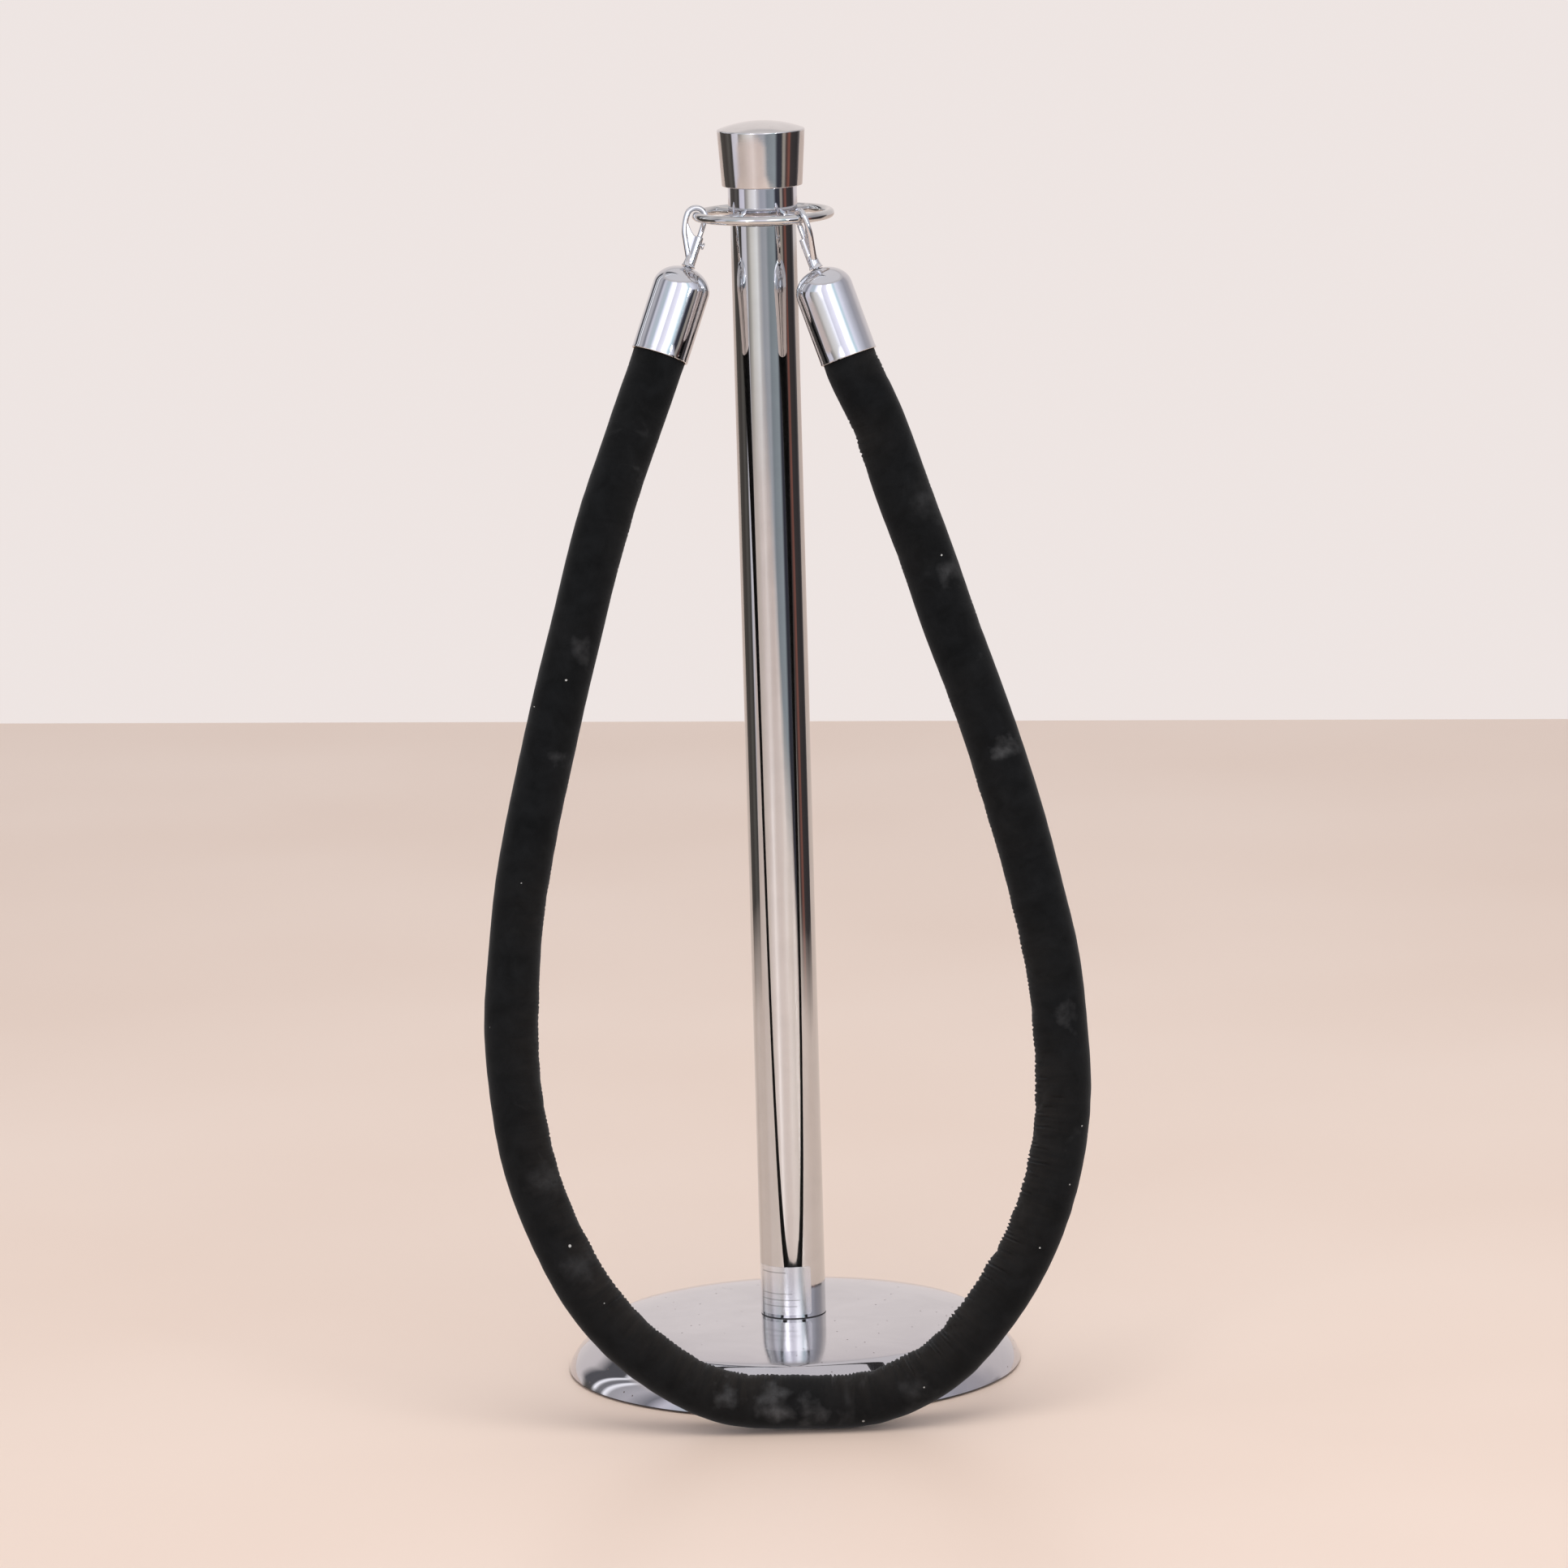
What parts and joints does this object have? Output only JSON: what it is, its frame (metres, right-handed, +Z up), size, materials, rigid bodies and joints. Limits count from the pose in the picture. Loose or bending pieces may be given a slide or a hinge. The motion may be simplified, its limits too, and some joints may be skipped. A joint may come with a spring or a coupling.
{
  "type": "rope barrier post",
  "caption": "Chromed crowd-control post on a domed weighted base, with a flared crown, a swivelling carry ring and a looped velvet rope hooked to the ring by its bolt snaps.",
  "frame": {"origin": "centre of the base's underside, on the floor", "axes": "+Z up along the post, +X to the right and -Y towards the side that the rope hangs on"},
  "size_m": [0.4629, 0.4128, 0.9826],
  "materials": {
    "chrome_base": "polished, lightly hazed",
    "chrome_tube": "polished",
    "chrome_crown": "polished with fine turning marks",
    "chrome_ring": "polished",
    "chrome_cap": "polished",
    "chrome_snap": "bright plated casting",
    "foil": "satin foil",
    "velvet": "worn cotton velvet, near black",
    "cotton": "twisted filler",
    "plug_wood": "turned, raw",
    "steel": "zinc plated",
    "spring_steel": "wire",
    "iron": "as cast, painted",
    "rubber": "matt",
    "gasket": "matt",
    "nylon": "matt"
  },
  "bodies": {
    "post": {"floor_ring": "rubber", "base_plate": "steel", "base_weight": "iron", "base_cover": "chrome_base", "base_bolt": "steel", "lock_washer": "steel", "base_washer": "steel", "foot_gasket": "gasket", "lower_insert": "steel", "post_tube": "chrome_tube", "asset_label": "foil", "upper_insert": "steel", "crown_stud": "steel", "crown_hub": "steel", "crown": "chrome_crown", "lower_bush": "nylon", "upper_bush": "nylon"},
    "ring": {"ring_collar": "chrome_ring", "carry_ring": "chrome_ring"},
    "rope": {"rope_core": "cotton", "velvet_sleeve": "velvet", "left_end_cap": "chrome_cap", "left_cap_plug": "plug_wood", "left_swivel_stud": "steel", "left_stud_washer": "steel", "left_stud_nut": "steel", "right_end_cap": "chrome_cap", "right_cap_plug": "plug_wood", "right_swivel_stud": "steel", "right_stud_washer": "steel", "right_stud_nut": "steel"},
    "left_snap": {"left_snap_hook": "chrome_snap", "left_snap_spring": "spring_steel"},
    "right_snap": {"right_snap_hook": "chrome_snap", "right_snap_spring": "spring_steel"},
    "left_bolt": {"left_snap_bolt": "chrome_snap"},
    "right_bolt": {"right_snap_bolt": "chrome_snap"}
  },
  "joints": [
    {"name": "ring_swivel", "type": "hinge", "parent": "post", "child": "ring", "pos_m": [0, 0, 0.9105], "axis": [0, 0, 1], "continuous": true},
    {"name": "rope_swing", "type": "hinge", "parent": "ring", "child": "rope", "pos_m": [-0.05138, -0.00269, 0.9105], "axis": [-0.8949, 0.4462, 0], "range_deg": [0, 10]},
    {"name": "left_snap_swivel", "type": "hinge", "parent": "rope", "child": "left_snap", "pos_m": [-0.05899, -0.01197, 0.87218], "axis": [0.3341, 0.2286, 0.9144], "range_deg": [0, 20]},
    {"name": "right_snap_swivel", "type": "hinge", "parent": "rope", "child": "right_snap", "pos_m": [0.03926, -0.04358, 0.87175], "axis": [-0.3175, 0.1588, 0.9349], "range_deg": [0, 20]},
    {"name": "left_bolt_slide", "type": "slide", "parent": "left_snap", "child": "left_bolt", "axis": [-0.3341, -0.2286, -0.9144], "range_m": [0, 0.0074], "stiffness_N_per_m": 400, "springref_m": -0.004, "deforming": ["left_snap_spring"]},
    {"name": "right_bolt_slide", "type": "slide", "parent": "right_snap", "child": "right_bolt", "axis": [0.3175, -0.1588, -0.9349], "range_m": [0, 0.0074], "stiffness_N_per_m": 400, "springref_m": -0.004, "deforming": ["right_snap_spring"]}
  ]
}
